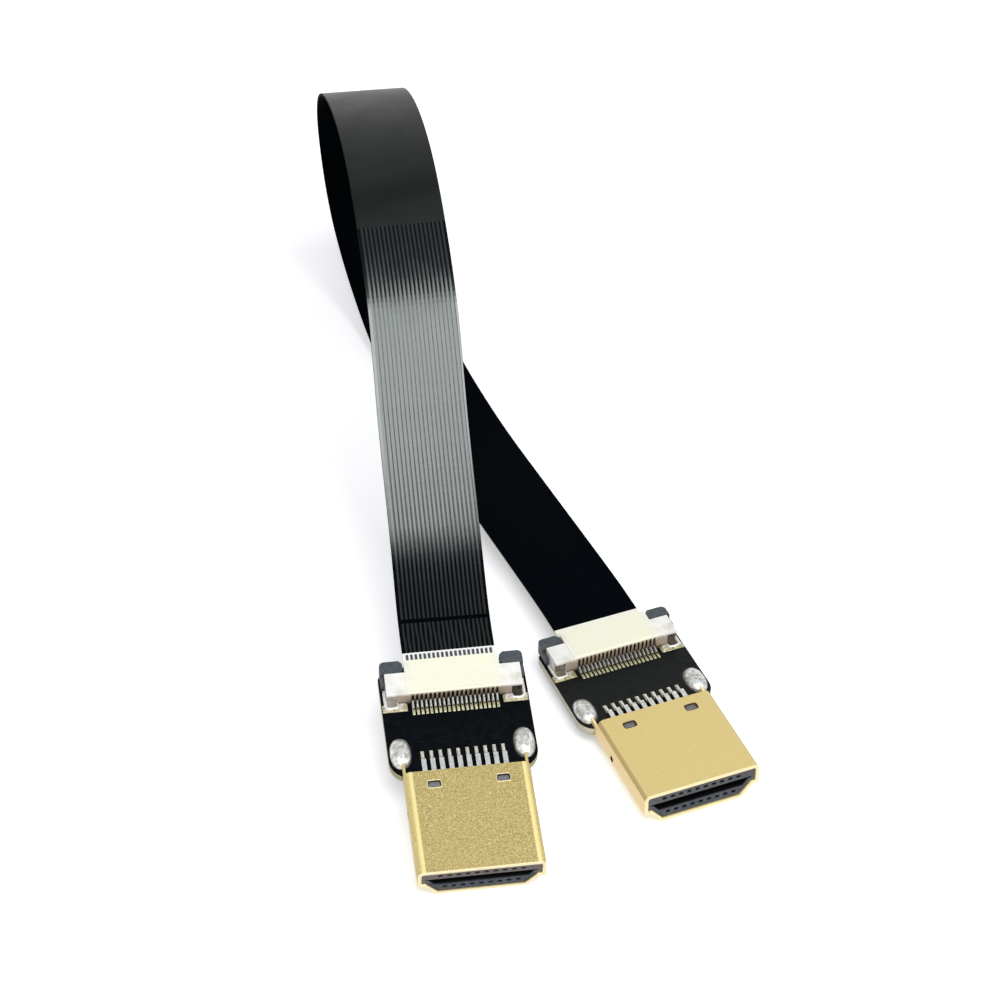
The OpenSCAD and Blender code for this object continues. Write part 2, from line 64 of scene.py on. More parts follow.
MM = 0.001
NODES = frame["nodes"]
ENDS = ("a", "b")
SIDES = (-1, 1)
UP = Vector((0, 0, 1))


# Frames of the two plugs

def plug_frame(mount):
    """A plug's own frame, in millimetres, from the mount at its mating face."""
    along = -Vector(mount["axis"])
    across = along.cross(UP).normalized()
    turn = Matrix((across, along, across.cross(along))).transposed().to_4x4()
    return Matrix.Translation(Vector(mount["pos_m"])) @ turn @ Matrix.Scale(MM, 4)


MOUNTS = {mount["name"]: mount for mount in frame["record"]["mounts"]}
PLUG = {end: plug_frame(MOUNTS["plug_" + end]) for end in ENDS}


def node_box(node, end, side=0):
    """Lowest and highest corner of a CAD node in its plug's frame, of all of it or of one side."""
    inward = PLUG[end].inverted()
    points = [inward @ v.co for v in NODES[f"{node}_{end}"].data.vertices]
    points = [p for p in points if p.x * side >= 0]
    low = Vector([min(p[i] for p in points) for i in range(3)])
    high = Vector([max(p[i] for p in points) for i in range(3)])
    return low, high


# Sizes from the CAD nodes, and those that no node's box gives

BOARD_LOW, BOARD_HIGH = node_box("circuit_board", "b")
SOCKET_LOW, SOCKET_HIGH = node_box("ribbon_socket", "b")
BARE_LOW, BARE_HIGH = node_box("ribbon_end", "b")
WAY_LOW = node_box("socket_contacts", "b")[0]
SHELL_HIGH = node_box("shell", "b")[1]
BOARD_TOP = BOARD_HIGH.z
ROW_MID = (BOARD_LOW.z + BOARD_HIGH.z) / 2
RIBBON_W = BARE_HIGH.x - BARE_LOW.x
RIBBON_Z = (BARE_LOW.z + BARE_HIGH.z) / 2
JACKET_Y = BARE_HIGH.y

WAYS = 20
PITCH = 0.5
WAY_MIDS = [(k - (WAYS - 1) / 2) * PITCH for k in range(WAYS)]
COMB_END = WAYS * PITCH / 2
RECESS_W = 1.25
RECESS_IN = SOCKET_HIGH.x - RECESS_W
SIDE_HOLE_Y, SIDE_HOLE_R = 8.95, 0.35


# Node trees of the materials, the table and the studio

class Tree:
    """A node tree, with a short way to add nodes to it."""

    def __init__(self, owner):
        owner.use_nodes = True
        self.nodes = owner.node_tree.nodes
        self.links = owner.node_tree.links

    def add(self, kind, feeds=None, **settings):
        """A new node; feeds gives its inputs, by name or number, a value or another node's output."""
        node = self.nodes.new("ShaderNode" + kind)
        for name, value in settings.items():
            setattr(node, name, value)
        for socket, value in (feeds or {}).items():
            if isinstance(value, bpy.types.NodeSocket):
                self.links.new(value, node.inputs[socket])
            else:
                node.inputs[socket].default_value = value
        return node

    def axes(self, where):
        """The three coordinates of a place."""
        return self.add("SeparateXYZ", {0: where}).outputs

    def noise(self, where, size, detail, stretch=(1, 1, 1)):
        """Noise from 0 to 1 with features of about that size, drawn out by the stretch."""
        scale = [1 / (size * s) for s in stretch]
        where = self.add("Mapping", {"Vector": where, "Scale": scale}).outputs["Vector"]
        return self.add("TexNoise", {"Vector": where, "Scale": 1.0, "Detail": detail}).outputs["Fac"]

    def span(self, factor, low, high, start=0.3, end=0.7):
        """A number that goes from low to high while the factor goes from start to end."""
        feeds = {"Value": factor, "From Min": start, "From Max": end, "To Min": low, "To Max": high}
        return self.add("MapRange", feeds).outputs["Result"]

    def rise(self, factor, start, end):
        """0 up to the start and 1 from the end on."""
        return self.span(factor, 0.0, 1.0, start, end)

    def fall(self, factor, start, end):
        """1 up to the start and 0 from the end on."""
        return self.span(factor, 1.0, 0.0, start, end)

    def maths(self, operation, a, b=0.0):
        """One sum on one or two numbers."""
        return self.add("Math", {0: a, 1: b}, operation=operation).outputs[0]

    def product(self, first, *others):
        """Numbers multiplied together."""
        for other in others:
            first = self.maths("MULTIPLY", first, other)
        return first

    def ramp(self, factor, *stops):
        """Colours along the factor, as (place, colour) stops."""
        node = self.add("ValToRGB", {"Fac": factor})
        elements = node.color_ramp.elements
        while len(elements) < len(stops):
            elements.new(0.5)
        for element, (place, colour) in zip(elements, stops):
            element.position = place
            element.color = (*colour, 1)
        return node.outputs["Color"]

    def mix(self, factor, low, high):
        """The low colour where the factor is 0 and the high one where it is 1."""
        colours = [c if isinstance(c, bpy.types.NodeSocket) else (*c, 1) for c in (low, high)]
        node = self.add("Mix", {0: factor, 6: colours[0], 7: colours[1]}, data_type="RGBA")
        return node.outputs[2]


SOCKETS = {
    "colour": "Base Color", "metal": "Metallic", "rough": "Roughness", "ior": "IOR",
    "level": "Specular IOR Level", "tint": "Specular Tint",
}


class Look(Tree):
    """A procedural material: one Principled shader and the nodes that feed it."""

    def __init__(self, name, **sockets):
        self.material = bpy.data.materials.new(name)
        super().__init__(self.material)
        self.shader = self.nodes["Principled BSDF"]
        for socket, value in sockets.items():
            if socket in ("colour", "tint"):
                value = (*value, 1)
            self.shader.inputs[SOCKETS[socket]].default_value = value

    def feed(self, socket, output):
        """Drives one of the shader's sockets."""
        self.links.new(output, self.shader.inputs[SOCKETS[socket]])

    def place(self, end=None):
        """Coordinates in millimetres, in a plug's frame or in the part's."""
        origin, turn, _ = (PLUG[end] if end else Matrix.Identity(4)).decompose()
        feeds = {"Vector": self.add("TexCoord").outputs["Object"], "Location": origin,
                 "Rotation": turn.to_euler(), "Scale": (MM, MM, MM)}
        return self.add("Mapping", feeds, vector_type="TEXTURE").outputs["Vector"]

    def bump(self, height, depth):
        """Fine relief of that depth."""
        feeds = {"Height": height, "Distance": depth * MM, "Strength": 1.0}
        self.links.new(self.add("Bump", feeds).outputs["Normal"], self.shader.inputs["Normal"])


# Looks of the plugs' shells and insulators

BEND_IN, BEND_OUT = SHELL_HIGH.x - 0.9, SHELL_HIGH.x - 0.4
BEND_SOFT, WALL_SOFT = 0.06, 0.15
CREASE_LOW, CREASE_HIGH = SHELL_HIGH.z - 0.62, SHELL_HIGH.z - 0.09
CREASE_SOFT = 0.06
LIP_FADE = (0.06, 0.15)
LIP_SHARE = 0.95
HOLE_SOFT = 0.05
# Painted shade in a shell's side hole.
HOLE_SHADE = (0.02, 0.012, 0.004)
# Painted shade down in the insulator's slot and contact holes.
SLOT_DARKENS, SLOT_PALES = (0.24, 0.42), (11.0, 12.0)
SLOT_SHADE = (0.001, 0.001, 0.0015)
TONE_CHANGE = (ROW_MID - 0.1, ROW_MID + 0.1)


def side_hole(look, y, z):
    """1 in the small round hole of a shell's side wall and 0 round it."""
    rise = look.maths("SUBTRACT", z, ROW_MID)
    ahead = look.maths("SUBTRACT", y, SIDE_HOLE_Y)
    square = look.maths("ADD", look.product(rise, rise), look.product(ahead, ahead))
    return look.fall(look.maths("SQRT", square), SIDE_HOLE_R, SIDE_HOLE_R + HOLE_SOFT)


def shell_edges(look, where, colour, bend, wall, lip, crease=None):
    """A shell's plate with its bends as a painted reflection, its side walls paler as painted light, a pale
    lip at the mating face as a painted highlight, perhaps dark creases as painted shade, and painted shade
    in its side hole.
    """
    x, y, z = look.axes(where)
    far = look.maths("ABSOLUTE", x)
    wall_from, wall_full = BEND_OUT - WALL_SOFT, BEND_OUT + WALL_SOFT
    # Painted reflection: the bend band gets the bend colour.
    over = look.product(look.rise(far, BEND_IN - BEND_SOFT, BEND_IN + BEND_SOFT),
                        look.fall(far, wall_from, wall_full))
    colour = look.mix(over, colour, bend)
    # Painted light: the side walls get a paler colour.
    wall_colour, wall_share = wall
    colour = look.mix(look.span(far, 0.0, wall_share, wall_from, wall_full), colour, wall_colour)
    # Painted shade: a darker band high on the side walls, along the bend.
    if crease:
        band = look.product(look.rise(z, CREASE_LOW - CREASE_SOFT, CREASE_LOW + CREASE_SOFT),
                            look.fall(z, CREASE_HIGH - CREASE_SOFT, CREASE_HIGH + CREASE_SOFT),
                            look.rise(far, wall_from, BEND_OUT))
        colour = look.mix(band, colour, crease)
    # Painted highlight: the pale lip at the mating face.
    colour = look.mix(look.span(y, LIP_SHARE, 0.0, *LIP_FADE), colour, lip)
    # Painted shade in the side hole.
    return look.mix(side_hole(look, y, z), colour, HOLE_SHADE)


def gold_mottled():
    """Plug A's shell: brassy plate with a coarse speckle."""
    look = Look("gold_mottled", metal=0.9)
    where = look.place("a")
    speck = look.noise(where, 0.17, 3)
    blotch = look.noise(where, 2.2, 3)
    patch = look.noise(where, 0.5, 3)
    dark, plain, light = (0.23, 0.168, 0.047), (0.56, 0.443, 0.182), (0.87, 0.745, 0.43)
    # bend is a painted reflection on the bends and also gives the side walls their painted light; lip is a
    # painted highlight.
    bend, lip = (0.90, 0.77, 0.355), (1.0, 0.89, 0.60)
    colour = look.ramp(speck, (0.28, dark), (0.5, plain), (0.72, light))
    colour = look.mix(look.span(patch, 0.0, 0.5), colour, (0.40, 0.30, 0.103))
    colour = look.mix(look.span(blotch, 0.0, 0.25), colour, (0.625, 0.506, 0.205))
    look.feed("colour", shell_edges(look, where, colour, bend, (bend, 0.3), lip))
    look.feed("rough", look.span(speck, 0.62, 0.48))
    look.bump(speck, 0.013)
    return look


def gold_satin():
    """Plug B's shell: smooth satin plate with a faint grain across it."""
    look = Look("gold_satin", metal=0.6)
    where = look.place("b")
    grain = look.noise(where, 0.12, 3, (9, 1, 1))
    blotch = look.noise(where, 1.6, 3)
    # wall is painted light on the side walls, lip a painted highlight and crease painted shade along the
    # bend.
    wall, lip, crease = (0.98, 0.79, 0.455), (1.0, 0.90, 0.56), (0.58, 0.44, 0.185)
    colour = look.ramp(grain, (0.3, (0.713, 0.568, 0.235)), (0.7, (0.766, 0.623, 0.269)))
    colour = look.mix(look.span(blotch, 0.0, 0.3), colour, (0.731, 0.595, 0.261))
    look.feed("colour", shell_edges(look, where, colour, colour, (wall, 1.0), lip, crease))
    look.feed("rough", look.span(grain, 0.66, 0.60))
    look.bump(grain, 0.0008)
    return look


def insulator(end, upper, lower):
    """Slate moulding, one tone above its slot and one below (plug A's upper one a painted reflection of its
    gold shell), with painted shade black down in the slot and contact holes.
    """
    look = Look(f"insulator_{end}", rough=0.55, level=0.25)
    where = look.place(end)
    _, y, z = look.axes(where)
    mottle = look.noise(where, 0.5, 4)
    # Plug A's brownish upper tone is a painted reflection of its gold shell.
    plate = look.mix(look.rise(z, *TONE_CHANGE), lower, upper)
    pale = look.mix(look.span(mottle, 0.0, 0.25), plate, (0.2, 0.2, 0.2))
    # Painted shade: black down in the slot, fading out again at the rear.
    deep = look.product(look.rise(y, *SLOT_DARKENS), look.fall(y, *SLOT_PALES))
    look.feed("colour", look.mix(deep, pale, SLOT_SHADE))
    look.bump(look.noise(where, 0.15, 2), 0.004)
    return look


# Looks of plain plastic and of tinned metal

def moulded(name, dark, light, size, rough, relief):
    """Moulded plastic with a fine mottle."""
    look = Look(name, rough=rough, level=0.4)
    where = look.place()
    mottle = look.noise(where, size, 4)
    look.feed("colour", look.ramp(mottle, (0.3, dark), (0.7, light)))
    look.feed("rough", look.span(mottle, rough - 0.06, rough + 0.06))
    look.bump(look.noise(where, size / 3, 2), relief)
    return look


def tinned(name, dark, light, size, rough, relief, metal):
    """Tin or solder: bright metal with a cloudy skin."""
    look = Look(name, metal=metal, rough=rough)
    where = look.place()
    cloud = look.noise(where, size, 3)
    look.feed("colour", look.ramp(cloud, (0.32, dark), (0.68, light)))
    look.feed("rough", look.span(cloud, rough + 0.12, rough - 0.05))
    look.bump(cloud, relief)
    return look


# Looks of the boards and the ribbon sockets

FACE_LEAN = 0.6
MASK_RIM = 0.03
FIBRE_DARK = 0.72
SCORCH = (0.30, 0.13, 0.03)
SCORCH_SHARE, SCORCH_FADE = 0.85, (0.35, 0.8)
# Colour of the ways: painted shade in the slots, and darker toes.
WAY_DARK = (0.06, 0.045, 0.03)
SLOT_ENTRY = (SOCKET_LOW.y - 0.02, SOCKET_LOW.y + 0.1)
TOE_FADE = (WAY_LOW.y + 0.06, WAY_LOW.y + 0.14)
LEFT_TO_RIGHT = (-0.1, 0.1)
# Bounds of the painted shade on the hold-down plates in the corner recesses.
PLATE_IN, PLATE_OUT = (RECESS_IN, RECESS_IN + 0.1), (SOCKET_HIGH.x - 0.05, SOCKET_HIGH.x + 0.05)
PLATE_SHADE_FROM = (SOCKET_LOW.y - 0.55, SOCKET_LOW.y - 0.4)
ROOF_TO_BLOCK = (4.4, 6.0)
COMB_TO_ENDS = (COMB_END - 0.05, COMB_END + 0.05)
FRONT_SKIN, FRONT_SIDE = (SOCKET_LOW.y + 0.02, SOCKET_LOW.y + 0.12), (RECESS_IN - 0.02, RECESS_IN)
# Where the socket's slots get painted shade.
SLOT_DEPTH = (SOCKET_LOW.y + 0.12, SOCKET_LOW.y + 0.2)
SLOT_TOP, SLOT_SIDE = (SOCKET_HIGH.z - 0.3, SOCKET_HIGH.z - 0.25), (COMB_END - 0.05, COMB_END)
# Bounds and colour of the painted shade in the socket's corner recesses.
RECESS_SHADE_IN, RECESS_SHADE_OUT = (RECESS_IN - 0.02, RECESS_IN + 0.05), (SOCKET_HIGH.x - 0.1, SOCKET_HIGH.x - 0.02)
RECESS_SHADE_BACK = (SOCKET_LOW.y + 0.1, SOCKET_LOW.y + 0.3)
RECESS_SHADE_RISE = (BOARD_TOP + 1.1, BOARD_TOP + 1.65)
RECESS_SHADE = (0.05, 0.035, 0.022)


def board(end, dark, light, level, edge, stain=None):
    """Glass-fibre board under dark solder mask, with its bare sides tan and perhaps a scorched spot."""
    look = Look(f"board_{end}", rough=0.3, level=level)
    where = look.place(end)
    up = PLUG[end].to_3x3().col[2].normalized()
    normal = look.add("TexCoord").outputs["Normal"]
    lie = look.add("VectorMath", {0: normal, 1: up}, operation="DOT_PRODUCT").outputs["Value"]
    face = look.maths("GREATER_THAN", look.maths("ABSOLUTE", lie), FACE_LEAN)
    height = look.maths("ABSOLUTE", look.maths("SUBTRACT", look.axes(where)["Z"], ROW_MID))
    rim = look.maths("GREATER_THAN", height, BOARD_TOP - ROW_MID - MASK_RIM)
    mask = look.maths("MAXIMUM", face, rim)
    cloud = look.noise(where, 0.9, 4)
    fibre = look.noise(where, 0.12, 3, (6, 6, 1))
    pale = look.ramp(fibre, (0.3, [FIBRE_DARK * c for c in edge]), (0.7, edge))
    colour = look.mix(mask, pale, look.ramp(cloud, (0.35, dark), (0.7, light)))
    if stain:
        reach = look.add("VectorMath", {0: where, 1: stain}, operation="DISTANCE").outputs["Value"]
        colour = look.mix(look.span(reach, SCORCH_SHARE, 0.0, *SCORCH_FADE), colour, SCORCH)
    look.feed("colour", colour)
    look.feed("rough", look.span(cloud, 0.22, 0.42))
    look.bump(look.noise(where, 0.5, 3), 0.012)
    return look


def socket_way(end):
    """Tinned ways of the ribbon socket: bright legs, darkened in the slots as painted shade, and darker at
    the toes.
    """
    look = Look(f"socket_way_{end}", metal=0.75, rough=0.3)
    where = look.place(end)
    y = look.axes(where)["Y"]
    # Painted shade in the slots; the toes are darkened too.
    dull = look.maths("MAXIMUM", look.rise(y, *SLOT_ENTRY), look.fall(y, *TOE_FADE))
    bright = look.ramp(look.noise(where, 0.3, 3), (0.3, (0.42, 0.42, 0.41)), (0.7, (0.86, 0.86, 0.84)))
    look.feed("colour", look.mix(dull, bright, WAY_DARK))
    return look


def hold_down(end, left, right, dull, bright):
    """Hold-down plates: whitish tin, with painted shade on them in the corner recesses; left and right say
    how much of it each side gets.
    """
    look = Look(f"hold_down_{end}", metal=0.5, rough=0.34)
    where = look.place(end)
    x, y, _ = look.axes(where)
    far = look.maths("ABSOLUTE", x)
    # Painted shade on the plates in the corner recesses.
    plate_shade = look.product(look.rise(far, *PLATE_IN), look.fall(far, *PLATE_OUT),
                         look.rise(y, *PLATE_SHADE_FROM), look.span(x, left, right, *LEFT_TO_RIGHT))
    tin = look.ramp(look.noise(where, 0.35, 3), (0.35, dull), (0.6, bright))
    # Dark browns of that painted shade.
    flux = look.ramp(look.noise(where, 0.3, 3), (0.35, (0.03, 0.021, 0.015)), (0.75, (0.17, 0.14, 0.12)))
    look.feed("colour", look.mix(plate_shade, tin, flux))
    look.bump(look.noise(where, 0.25, 2), 0.02)
    return look


def comb_wall(look, where, far, down):
    """Painted shade on a socket's front wall: tan and darker downwards, paler past the comb's ends."""
    grain = look.span(look.noise(where, 0.3, 3), -0.07, 0.07)
    uneven = look.maths("ADD", down, grain)
    comb = look.ramp(uneven, (0.12, (0.93, 0.86, 0.70)), (0.30, (0.42, 0.32, 0.22)),
                     (0.62, (0.24, 0.17, 0.11)), (0.80, (0.012, 0.009, 0.006)))
    ends = look.ramp(uneven, (0.10, (0.93, 0.88, 0.78)), (0.28, (0.52, 0.42, 0.33)),
                     (0.72, (0.40, 0.31, 0.24)), (0.92, (0.06, 0.045, 0.03)))
    return look.mix(look.rise(far, *COMB_TO_ENDS), comb, ends)


def ribbon_socket(end, left, right):
    """Ivory socket: cream roof, whiter ends, tan comb and dark slots as painted shade; left and right say
    how much painted shade its corner recesses get.
    """
    look = Look(f"socket_ivory_{end}", rough=0.4)
    where = look.place(end)
    x, y, z = look.axes(where)
    far = look.maths("ABSOLUTE", x)
    down = look.rise(z, SOCKET_HIGH.z, BOARD_TOP)
    cloud = look.noise(where, 1.5, 3)
    worn = look.noise(where, 1.4, 2)
    roof = look.ramp(cloud, (0.3, (0.94, 0.925, 0.72)), (0.7, (0.95, 0.94, 0.79)))
    block = look.ramp(worn, (0.34, (0.74, 0.71, 0.63)), (0.46, (0.89, 0.87, 0.82)),
                      (0.62, (0.95, 0.94, 0.91)))
    colour = look.mix(look.rise(far, *ROOF_TO_BLOCK), roof, block)
    # The front wall takes the painted shade of comb_wall.
    front = look.product(look.fall(y, *FRONT_SKIN), look.fall(far, *FRONT_SIDE))
    colour = look.mix(front, colour, comb_wall(look, where, far, down))
    # Painted shade inside the slots, darker downwards.
    slot = look.product(look.rise(y, *SLOT_DEPTH), look.fall(z, *SLOT_TOP), look.fall(far, *SLOT_SIDE))
    depth = look.ramp(down, (0.16, (0.60, 0.49, 0.34)), (0.40, (0.07, 0.05, 0.03)),
                      (0.7, (0.008, 0.006, 0.004)))
    colour = look.mix(slot, colour, depth)
    # Painted shade in the corner recesses under the end blocks.
    recess = look.product(look.rise(far, *RECESS_SHADE_IN), look.fall(far, *RECESS_SHADE_OUT), look.rise(y, *RECESS_SHADE_BACK),
                          look.fall(z, *RECESS_SHADE_RISE), look.span(x, left, right, *LEFT_TO_RIGHT))
    look.feed("colour", look.mix(recess, colour, RECESS_SHADE))
    look.bump(look.noise(where, 0.15, 3), 0.004)
    return look


# Looks of the ribbon, with stretches along the part's Y, and of its bare conductors

FILM_IOR = 1.62
NEAR_BLUR, LOOP_BLUR = (39.0, 45.0), (55.0, 60.0)
PLAIN_STRETCH = (64.0, 80.0)
REVERSE_STRETCH = (35.0, 100.0)
BAR_STOP = (JACKET_Y - 0.3, JACKET_Y - 0.2)


def ribbon_film(name, level):
    """Glossy black film over the conductors or between them, blurred at both ends of its bright stretch."""
    look = Look(name, ior=FILM_IOR, tint=(0.93, 1.0, 0.97), level=level)
    where = look.place()
    haze = look.noise(where, 3.0, 3)
    y = look.axes(where)["Y"]
    blur = look.maths("ADD", look.span(y, 0.11, 0.0, *NEAR_BLUR), look.span(y, 0.0, 0.05, *LOOP_BLUR))
    look.feed("rough", look.maths("ADD", look.span(haze, 0.11, 0.18), blur))
    look.feed("colour", look.ramp(haze, (0.3, (0.0003, 0.0005, 0.0008)), (0.7, (0.0006, 0.0008, 0.0012))))
    look.bump(look.noise(where, 0.8, 2), 0.002)
    return look


def ribbon_plain():
    """The plain part of the ribbon's outer face: duller film with olive smudges, lighter and darker along
    its stretch as painted sheen.
    """
    look = Look("ribbon_plain", ior=FILM_IOR, tint=(0.88, 1.0, 0.92), level=0.155)
    where = look.place()
    smudge = look.noise(where, 4.0, 3)
    along = look.rise(look.axes(where)["Y"], *PLAIN_STRETCH)
    dark, olive = (0.0025, 0.003, 0.002), (0.0022, 0.0028, 0.0016)
    # Painted sheen: lighter and darker bands along the plain stretch.
    film = look.ramp(along, (0.12, (0.018, 0.020, 0.019)), (0.34, (0.010, 0.0115, 0.010)),
                     (0.46, dark), (0.54, dark), (0.70, (0.0085, 0.0095, 0.0075)))
    look.feed("colour", look.mix(look.span(smudge, 0.5, 0.0, 0.36, 0.64), film, olive))
    look.feed("rough", look.span(smudge, 0.40, 0.32))
    look.bump(look.noise(where, 0.8, 2), 0.002)
    return look


def ribbon_matte():
    """The ribbon's reverse face and edges: dull black film, darker further along Y as painted shade."""
    look = Look("ribbon_matte", rough=0.5, level=0.005)
    where = look.place()
    grain = look.noise(where, 0.25, 3)
    along = look.rise(look.axes(where)["Y"], *REVERSE_STRETCH)
    # Painted shade: darker further along Y.
    film = look.ramp(along, (0.0, (0.0014, 0.0026, 0.0040)), (1.0, (0.0006, 0.0012, 0.0019)))
    look.feed("colour", look.mix(look.span(grain, 0.3, 0.0), film, (0.0004, 0.0008, 0.0013)))
    look.bump(grain, 0.002)
    return look


def bare_conductor():
    """Flat conductors in the bare end of the ribbon: grey bars that stop short of the jacket."""
    look = Look("bare_conductor", rough=0.5)
    where = look.place("a")
    stop = look.rise(look.axes(where)["Y"], *BAR_STOP)
    grey = look.ramp(look.noise(where, 0.3, 3), (0.3, (0.040, 0.044, 0.046)), (0.7, (0.075, 0.080, 0.082)))
    look.feed("colour", look.mix(stop, grey, (0.9, 0.9, 0.88)))
    return look


# The looks themselves

GOLD = {"a": gold_mottled(), "b": gold_satin()}
# Plug A's brownish upper tone is a painted reflection of its gold shell.
INSULATOR = {
    "a": insulator("a", upper=(0.150, 0.125, 0.120), lower=(0.040, 0.050, 0.075)),
    "b": insulator("b", upper=(0.085, 0.085, 0.095), lower=(0.050, 0.058, 0.075)),
}
CARRIER = moulded("carrier_slate", (0.16, 0.165, 0.175), (0.26, 0.265, 0.275),
                  size=0.4, rough=0.6, relief=0.004)
LOCK = moulded("lock_slate", (0.042, 0.052, 0.061), (0.080, 0.092, 0.103),
               size=0.45, rough=0.52, relief=0.006)
FILM = {
    "a": moulded("film_white", (0.93, 0.925, 0.90), (0.97, 0.965, 0.94),
                 size=1.0, rough=0.45, relief=0.002),
    "b": moulded("film_cream", (0.95, 0.93, 0.80), (0.97, 0.96, 0.86),
                 size=1.0, rough=0.45, relief=0.002),
}
TIN = tinned("contact_tin", (0.50, 0.49, 0.46), (0.97, 0.95, 0.90),
             size=0.22, rough=0.28, relief=0.01, metal=0.8)
PAD = tinned("pad_tin", (0.36, 0.32, 0.15), (0.84, 0.80, 0.56),
             size=0.25, rough=0.36, relief=0.006, metal=0.7)
SOLDER = tinned("solder_tin", (0.42, 0.41, 0.38), (0.93, 0.92, 0.89),
                size=0.42, rough=0.36, relief=0.045, metal=0.88)
RIM = tinned("rim_white", (0.84, 0.83, 0.80), (0.97, 0.97, 0.95),
             size=0.3, rough=0.3, relief=0.008, metal=0.4)
# A painted highlight along the windows' cut edges.
EDGE_HIGHLIGHT = tinned("painted_edge_highlight", (0.90, 0.78, 0.42), (0.99, 0.92, 0.66),
               size=0.3, rough=0.3, relief=0.002, metal=0.6)
# Painted shadow at the windows' edges.
SHADE = Look("shaded_edge", colour=(0.035, 0.025, 0.012), metal=0.3, rough=0.5)
CONDUCTOR = {
    "a": bare_conductor(),
    "b": tinned("conductor_tin", (0.60, 0.60, 0.58), (0.75, 0.75, 0.73),
                size=0.3, rough=0.4, relief=0.002, metal=0.7),
}
SCORCHED_SPOT = (-6.55, 13.9, 1.8)
BOARD = {
    "a": board("a", (0.0008, 0.0014, 0.0024), (0.0025, 0.0038, 0.0058),
               level=0.06, edge=(0.50, 0.45, 0.26)),
    "b": board("b", (0.003, 0.0045, 0.0042), (0.007, 0.009, 0.0085),
               level=0.13, edge=(0.74, 0.70, 0.55), stain=SCORCHED_SPOT),
}
SOCKET = {"a": ribbon_socket("a", left=0.5, right=1.0), "b": ribbon_socket("b", left=0.75, right=0.95)}
WAY = {end: socket_way(end) for end in ENDS}
HOLD = {
    "a": hold_down("a", left=0.45, right=1.0, dull=(0.48, 0.42, 0.34), bright=(0.88, 0.85, 0.79)),
    "b": hold_down("b", left=0.7, right=0.9, dull=(0.38, 0.33, 0.20), bright=(0.84, 0.81, 0.70)),
}
FILM_LEVELS = (0.03, 0.06, *(k / 20 for k in range(2, 15)))
RIBBON = [ribbon_film(f"ribbon_film_{k}", level) for k, level in enumerate(FILM_LEVELS)]
RIBBON += [ribbon_plain(), ribbon_matte()]
PLAIN, MATTE = len(FILM_LEVELS), len(FILM_LEVELS) + 1


# Pieces

MERGE = 0.0005
FLAT_ANGLE, SHARP_ANGLE = 0.4, 34
ROUND_STEPS = 2
CURVE_STEPS = 6
STRAND_SIDES = 10


def add_piece(name, mesh, looks, body="cable", stands_for=()):
    """A new piece of the object, on its body."""
    piece = bpy.data.objects.new(name, mesh)
    bpy.context.scene.collection.objects.link(piece)
    for look in looks:
        mesh.materials.append(look.material)
    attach(piece, body)
    if stands_for:
        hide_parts(*stands_for)
    return piece


def smooth(mesh, angle=38):
    """Smooth shading with sharp edges above that angle."""
    mesh.shade_smooth()
    mesh.set_sharp_from_angle(angle=math.radians(angle))


def box_cutter(end, boxes):
    """A throw-away object of boxes, each given by two corners in a plug's frame; in millimetres."""
    cube = [(0, 0, 0), (1, 0, 0), (1, 1, 0), (0, 1, 0), (0, 0, 1), (1, 0, 1), (1, 1, 1), (0, 1, 1)]
    sides = [(0, 3, 2, 1), (4, 5, 6, 7), (0, 1, 5, 4), (1, 2, 6, 5), (2, 3, 7, 6), (3, 0, 4, 7)]
    verts, faces = [], []
    for low, high in boxes:
        start = len(verts)
        corners = [Vector([high[i] if c[i] else low[i] for i in range(3)]) for c in cube]
        verts += [PLUG[end] @ corner / MM for corner in corners]
        faces += [[start + k for k in side] for side in sides]
    mesh = bpy.data.meshes.new("cutter")
    mesh.from_pydata(verts, [], faces)
    return bpy.data.objects.new("cutter", mesh)


def cut_copy(node, end, boxes):
    """A CAD node's mesh in millimetres, with boxes cut out of it."""
    mesh = NODES[f"{node}_{end}"].data.copy()
    mesh.transform(Matrix.Scale(1 / MM, 4))
    if not boxes:
        return mesh
    blank, cutter = bpy.data.objects.new("blank", mesh), box_cutter(end, boxes)
    for thing in (blank, cutter):
        bpy.context.scene.collection.objects.link(thing)
    cut = blank.modifiers.new("cut", "BOOLEAN")
    cut.object, cut.solver = cutter, "EXACT"
    result = bpy.data.meshes.new_from_object(blank.evaluated_get(bpy.context.evaluated_depsgraph_get()))
    for thing in (blank, cutter):
        bpy.data.objects.remove(thing)
    return result


def rounded_copy(node, end, look, radius, boxes=()):
    """Stands for a CAD node: the same form, less the boxes, with its sharp edges rounded."""
    name = f"{node}_{end}"
    bm = bmesh.new()
    bm.from_mesh(cut_copy(node, end, boxes))
    bmesh.ops.remove_doubles(bm, verts=bm.verts, dist=MERGE)
    bmesh.ops.dissolve_limit(bm, angle_limit=math.radians(FLAT_ANGLE), verts=bm.verts, edges=bm.edges)
    folds = [e for e in bm.edges if len(e.link_faces) == 2]
    sharp = [e for e in folds if e.calc_face_angle() > math.radians(SHARP_ANGLE)]
    bmesh.ops.bevel(bm, geom=sharp, offset=radius, segments=ROUND_STEPS, profile=0.5, affect="EDGES",
                    clamp_overlap=True)
    bmesh.ops.scale(bm, vec=Vector((1, 1, 1)) * MM, verts=bm.verts)
    mesh = bpy.data.meshes.new("rounded_" + name)
    bm.to_mesh(mesh)
    bm.free()
    smooth(mesh)
    piece = add_piece("rounded_" + name, mesh, [look], NODES[name]["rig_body"], [name])
    piece.modifiers.new("even_shading", "WEIGHTED_NORMAL").keep_sharp = True


def paint_node(node, end, look):
    """A better material on a CAD node whose shape is right."""
    materials = NODES[f"{node}_{end}"].data.materials
    materials.clear()
    materials.append(look.material)


